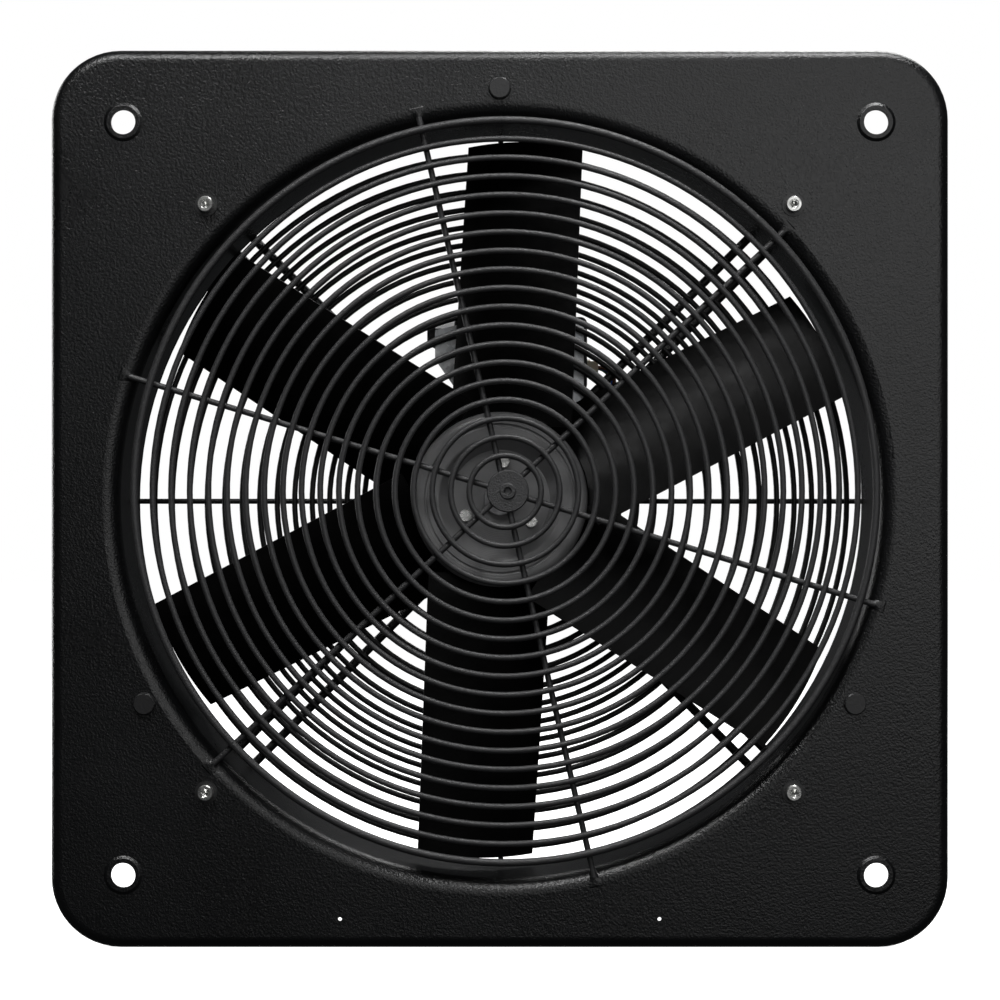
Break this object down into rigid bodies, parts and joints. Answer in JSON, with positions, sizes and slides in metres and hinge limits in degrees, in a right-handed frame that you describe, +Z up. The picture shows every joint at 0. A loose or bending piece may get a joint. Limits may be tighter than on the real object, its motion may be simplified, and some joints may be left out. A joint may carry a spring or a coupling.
{
  "type": "plate-mounted axial fan",
  "caption": "Square-plate wall-mounted axial fan with a flat wire inlet guard, a short duct, pressed-sheet blades on an external-rotor motor and a rear wire support.",
  "frame": {"origin": "on the fan axis, at the centre of the wall-bolt pattern, in the plane of the back face of the mounting plate", "axes": "+Y along the fan axis with the air flow, from the inlet guard to the motor support; +Z up; +X to the right for someone who faces the inlet guard"},
  "size_m": [0.49, 0.1323, 0.49],
  "materials": {
    "powder_coat_plate": "black powder coat with a fine leather texture",
    "powder_coat_wire": "smooth black powder coat",
    "powder_coat_disc": "textured black powder coat",
    "black_paint_blade": "satin black paint",
    "rotor_paint": "satin grey-black paint",
    "zinc_screw": "bright zinc",
    "black_screw": "painted over",
    "cast_aluminium": "as cast",
    "galvanised": "galvanised sheet",
    "bearing_steel": "ground",
    "brass_terminal": "bright",
    "lamination_steel": "varnished laminations",
    "copper_winding": "enamelled copper",
    "shaft_steel": "ground",
    "black_plastic": "fine moulded texture",
    "gland_plastic": "moulded polyamide",
    "seal_rubber": "matt",
    "cream_plastic": "moulded",
    "capacitor_plastic": "moulded",
    "brown_insulation": "extruded",
    "blue_insulation": "extruded",
    "earth_insulation": "green with a yellow stripe"
  },
  "bodies": {
    "frame": {"mounting_plate": "powder_coat_plate", "front_guard_rings": "powder_coat_wire", "front_guard_rim": "powder_coat_wire", "front_guard_spokes": "powder_coat_wire", "front_guard_disc": "powder_coat_disc", "rear_guard_rings": "powder_coat_wire", "rear_guard_braces": "powder_coat_wire", "motor_support_arms": "powder_coat_wire", "motor_plate": "powder_coat_wire", "support_screws": "zinc_screw", "support_washers": "black_screw", "support_clamp_washers": "zinc_screw", "support_nuts": "zinc_screw", "plug_bolts": "black_screw", "plug_nuts": "black_screw", "stator_flange": "cast_aluminium", "bearing_cap": "galvanised", "motor_screws": "zinc_screw", "stator_core": "lamination_steel", "stator_windings": "copper_winding", "front_bearing_outer_ring": "bearing_steel", "rear_bearing_outer_ring": "bearing_steel", "preload_washer": "bearing_steel", "terminal_box_base": "black_plastic", "terminal_box_seal": "seal_rubber", "terminal_box_lid": "black_plastic", "terminal_box_screws": "zinc_screw", "box_bracket": "galvanised", "bracket_screws": "zinc_screw", "terminal_block": "cream_plastic", "terminal_screws": "brass_terminal", "run_capacitor": "capacitor_plastic", "earth_screw": "brass_terminal", "cable_gland": "gland_plastic", "gland_dome_nut": "gland_plastic", "gland_lock_nut": "gland_plastic", "lead_bushing": "cream_plastic", "lead_grommet": "seal_rubber", "lead_brown": "brown_insulation", "lead_blue": "blue_insulation", "lead_earth": "earth_insulation"},
    "impeller": {"rotor_bell": "rotor_paint", "rotor_laminations": "lamination_steel", "rotor_cage": "cast_aluminium", "shaft_hub": "cast_aluminium", "shaft": "shaft_steel", "rotor_screws": "zinc_screw", "shaft_clip": "bearing_steel", "front_bearing_inner_ring": "bearing_steel", "rear_bearing_inner_ring": "bearing_steel", "blade_1": "black_paint_blade", "blade_2": "black_paint_blade", "blade_3": "black_paint_blade", "blade_4": "black_paint_blade", "blade_5": "black_paint_blade", "blade_6": "black_paint_blade"},
    "front_bearing_cage_set": {"front_bearing_balls": "bearing_steel", "front_bearing_cage": "brass_terminal"},
    "rear_bearing_cage_set": {"rear_bearing_balls": "bearing_steel", "rear_bearing_cage": "brass_terminal"}
  },
  "joints": [
    {"name": "impeller_spin", "type": "hinge", "parent": "frame", "child": "impeller", "pos_m": [0, 0.043, 0], "axis": [0, 1, 0], "continuous": true},
    {"name": "front_cage_spin", "type": "hinge", "parent": "frame", "child": "front_bearing_cage_set", "pos_m": [0, 0.0335, 0], "axis": [0, 1, 0], "continuous": true},
    {"name": "rear_cage_spin", "type": "hinge", "parent": "frame", "child": "rear_bearing_cage_set", "pos_m": [0, 0.0635, 0], "axis": [0, 1, 0], "continuous": true}
  ],
  "couplings": [
    {"joint": "front_cage_spin", "follows": "impeller_spin", "ratio": 0.37333},
    {"joint": "rear_cage_spin", "follows": "impeller_spin", "ratio": 0.37333}
  ]
}
